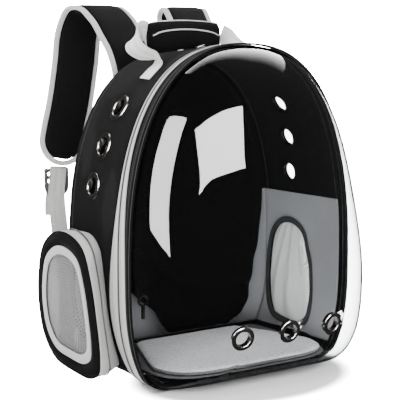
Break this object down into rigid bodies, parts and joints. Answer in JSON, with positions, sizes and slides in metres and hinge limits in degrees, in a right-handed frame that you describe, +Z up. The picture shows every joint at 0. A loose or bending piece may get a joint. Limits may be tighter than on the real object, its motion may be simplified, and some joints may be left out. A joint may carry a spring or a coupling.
{
  "type": "bubble pet carrier backpack",
  "caption": "Arched fabric backpack with a deep clear dome front, metal air holes, zipped side pouches with mesh windows, a carry handle and padded shoulder straps.",
  "frame": {"origin": "on the base panel's flat underside, midway between the arched mouth and the back, on the middle plane", "axes": "+Z up, -Y out of the clear dome (the front), +Y towards the wearer's back, +X to the right as seen from the front"},
  "size_m": [0.4106, 0.392, 0.4737],
  "materials": {
    "black_cloth": "plain-woven black cloth, padded",
    "light_grey_tape": "woven light grey tape",
    "grey_webbing": "ribbed grey webbing",
    "mesh": "open grey mesh",
    "lining": "dark grey lining cloth",
    "floor_pad_cloth": "soft white plush",
    "floor_board_cloth": "grey cloth over a stiff board",
    "nickel_metal": "dark nickel plate, polished",
    "black_plastic": "moulded, satin",
    "zip_coil": "nylon coil",
    "clear_vinyl": "clear, glossy"
  },
  "bodies": {
    "root": {"side_wall": "black_cloth", "back_panel": "black_cloth", "base_panel": "black_cloth", "dome": "clear_vinyl", "dome_binding": "black_cloth", "door_zip_inner_tape": "light_grey_tape", "door_zip_coil": "zip_coil", "door_zip_outer_tape": "light_grey_tape", "door_zip_slider": "nickel_metal", "eyelet_right_1": "nickel_metal", "eyelet_left_1": "nickel_metal", "eyelet_right_2": "nickel_metal", "eyelet_left_2": "nickel_metal", "eyelet_right_3": "nickel_metal", "eyelet_left_3": "nickel_metal", "eyelet_front_1": "nickel_metal", "eyelet_front_2": "nickel_metal", "eyelet_front_3": "nickel_metal", "pouch_gusset_right": "light_grey_tape", "pouch_gusset_left": "light_grey_tape", "pouch_zip_coil_right": "zip_coil", "pouch_zip_coil_left": "zip_coil", "pouch_face_right": "black_cloth", "pouch_face_left": "black_cloth", "pouch_trim_right": "light_grey_tape", "pouch_trim_left": "light_grey_tape", "pouch_mesh_right": "mesh", "pouch_mesh_left": "mesh", "window_trim_right": "grey_webbing", "window_trim_left": "grey_webbing", "window_mesh_right": "mesh", "window_mesh_left": "mesh", "lower_lining": "lining", "floor_board": "floor_board_cloth", "floor_pad": "floor_pad_cloth", "back_board": "black_cloth", "strap_pad_right": "black_cloth", "strap_pad_left": "black_cloth", "strap_edge_right": "light_grey_tape", "strap_edge_left": "light_grey_tape", "strap_webbing_right": "grey_webbing", "strap_webbing_left": "grey_webbing", "webbing_tail_right": "grey_webbing", "webbing_tail_left": "grey_webbing", "ladder_lock_right": "black_plastic", "ladder_lock_left": "black_plastic", "handle_grip": "black_cloth", "handle_webbing_right": "light_grey_tape", "handle_webbing_left": "light_grey_tape", "tether_webbing": "black_cloth", "tether_clip": "nickel_metal"}
  },
  "joints": []
}
